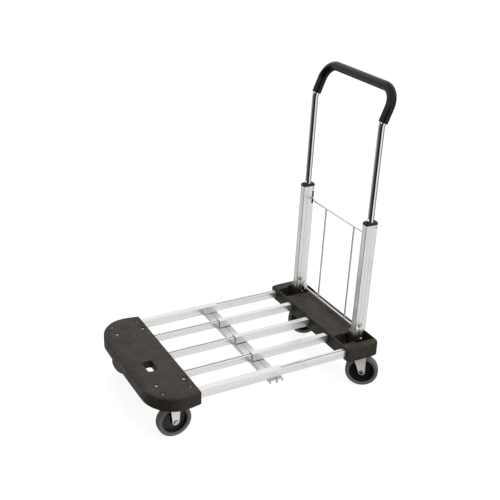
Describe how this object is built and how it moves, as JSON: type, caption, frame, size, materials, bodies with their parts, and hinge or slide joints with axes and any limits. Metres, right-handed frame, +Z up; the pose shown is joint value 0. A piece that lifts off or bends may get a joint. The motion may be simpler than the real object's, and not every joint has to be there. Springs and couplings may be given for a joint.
{
  "type": "folding platform cart",
  "caption": "Folding platform cart: telescoping aluminium rail deck between plastic end housings, fold-down masts with a sliding chrome handle, fixed front and swivelling rear casters.",
  "frame": {"origin": "bottom centre of the whole cart, on the ground, deck drawn out and handle up and extended", "axes": "+Z up, +Y towards the handle, +X across the width; front housing at -Y"},
  "size_m": [0.4688, 0.7486, 0.9157],
  "materials": {
    "housing": "fine moulded texture",
    "black_plastic": "satin moulded",
    "aluminium": "mill finish with faint drawing lines",
    "chrome": "polished",
    "zinc_steel": "bright zinc plated",
    "bright_wire": "bright nickel plated",
    "spring_steel": "bright",
    "tyre": "matte grey rubber",
    "grip": "satin black foam"
  },
  "bodies": {
    "base": {"rear_housing": "housing", "middle_sleeve_left": "aluminium", "middle_sleeve_centre": "aluminium", "middle_sleeve_right": "aluminium", "rear_crossbar": "aluminium", "rear_rail_left": "aluminium", "mast_bracket_left": "zinc_steel", "pivot_bolt_left": "zinc_steel", "bracket_bolt_left": "zinc_steel", "rear_caster_plate_left": "zinc_steel", "rear_rail_right": "aluminium", "mast_bracket_right": "zinc_steel", "pivot_bolt_right": "zinc_steel", "bracket_bolt_right": "zinc_steel", "rear_caster_plate_right": "zinc_steel"},
    "front_deck": {"front_housing": "housing", "front_crossbar": "aluminium", "front_rail_left": "aluminium", "front_rail_centre": "aluminium", "front_rail_right": "aluminium", "outer_sleeve_left": "aluminium", "front_fork_left": "zinc_steel", "front_axle_left": "zinc_steel", "front_inner_screw_left": "zinc_steel", "front_outer_screw_left": "zinc_steel", "rear_inner_screw_left": "zinc_steel", "rear_outer_screw_left": "zinc_steel", "outer_sleeve_right": "aluminium", "front_fork_right": "zinc_steel", "front_axle_right": "zinc_steel", "front_inner_screw_right": "zinc_steel", "front_outer_screw_right": "zinc_steel", "rear_inner_screw_right": "zinc_steel", "rear_outer_screw_right": "zinc_steel"},
    "mast": {"mast_left": "aluminium", "mast_cap_left": "black_plastic", "release_spring_left": "spring_steel", "mast_right": "aluminium", "mast_cap_right": "black_plastic", "release_spring_right": "spring_steel"},
    "handle": {"handle_tube": "chrome", "handle_grip": "grip"},
    "release_frame": {"latch_claw_left": "zinc_steel", "latch_claw_right": "zinc_steel", "release_wire_frame": "bright_wire"},
    "front_wheel_left": {"front_tyre_left": "tyre", "front_hub_left": "black_plastic"},
    "swivel_left": {"swivel_fork_left": "zinc_steel", "rear_axle_left": "zinc_steel"},
    "rear_wheel_left": {"rear_tyre_left": "tyre", "rear_hub_left": "black_plastic"},
    "snap_button_left": {"snap_button_left": "zinc_steel"},
    "front_wheel_right": {"front_tyre_right": "tyre", "front_hub_right": "black_plastic"},
    "swivel_right": {"swivel_fork_right": "zinc_steel", "rear_axle_right": "zinc_steel"},
    "rear_wheel_right": {"rear_tyre_right": "tyre", "rear_hub_right": "black_plastic"},
    "snap_button_right": {"snap_button_right": "zinc_steel"}
  },
  "joints": [
    {"name": "deck_slide", "type": "slide", "parent": "base", "child": "front_deck", "axis": [0, 1, 0], "range_m": [0, 0.195]},
    {"name": "front_wheel_spin_left", "type": "hinge", "parent": "front_deck", "child": "front_wheel_left", "pos_m": [-0.1705, -0.293, 0.05], "axis": [1, 0, 0], "continuous": true},
    {"name": "caster_swivel_left", "type": "hinge", "parent": "base", "child": "swivel_left", "pos_m": [-0.1705, 0.297, 0.11], "axis": [0, 0, 1], "continuous": true},
    {"name": "rear_wheel_spin_left", "type": "hinge", "parent": "swivel_left", "child": "rear_wheel_left", "pos_m": [-0.15325, 0.31969, 0.05], "axis": [0.7961, -0.6052, 0], "continuous": true},
    {"name": "front_wheel_spin_right", "type": "hinge", "parent": "front_deck", "child": "front_wheel_right", "pos_m": [0.1705, -0.293, 0.05], "axis": [1, 0, 0], "continuous": true},
    {"name": "caster_swivel_right", "type": "hinge", "parent": "base", "child": "swivel_right", "pos_m": [0.1705, 0.297, 0.11], "axis": [0, 0, 1], "continuous": true},
    {"name": "rear_wheel_spin_right", "type": "hinge", "parent": "swivel_right", "child": "rear_wheel_right", "pos_m": [0.18775, 0.31969, 0.05], "axis": [0.7961, -0.6052, 0], "continuous": true},
    {"name": "mast_fold", "type": "hinge", "parent": "base", "child": "mast", "pos_m": [0, 0.3015, 0.205], "axis": [1, 0, 0], "range_deg": [0, 91]},
    {"name": "handle_slide", "type": "slide", "parent": "mast", "child": "handle", "axis": [0, -0.024, -0.9997], "range_m": [0, 0.24]},
    {"name": "release_lift", "type": "slide", "parent": "mast", "child": "release_frame", "axis": [0, 0.024, 0.9997], "range_m": [0, 0.02], "stiffness_N_per_m": 250, "springref_m": -0.012, "deforming": ["release_spring_left", "release_spring_right"]},
    {"name": "snap_press_left", "type": "slide", "parent": "handle", "child": "snap_button_left", "axis": [0, 0.9997, -0.024], "range_m": [0, 0.004], "stiffness_N_per_m": 700, "springref_m": -0.001},
    {"name": "snap_press_right", "type": "slide", "parent": "handle", "child": "snap_button_right", "axis": [0, 0.9997, -0.024], "range_m": [0, 0.004], "stiffness_N_per_m": 700, "springref_m": -0.001}
  ]
}
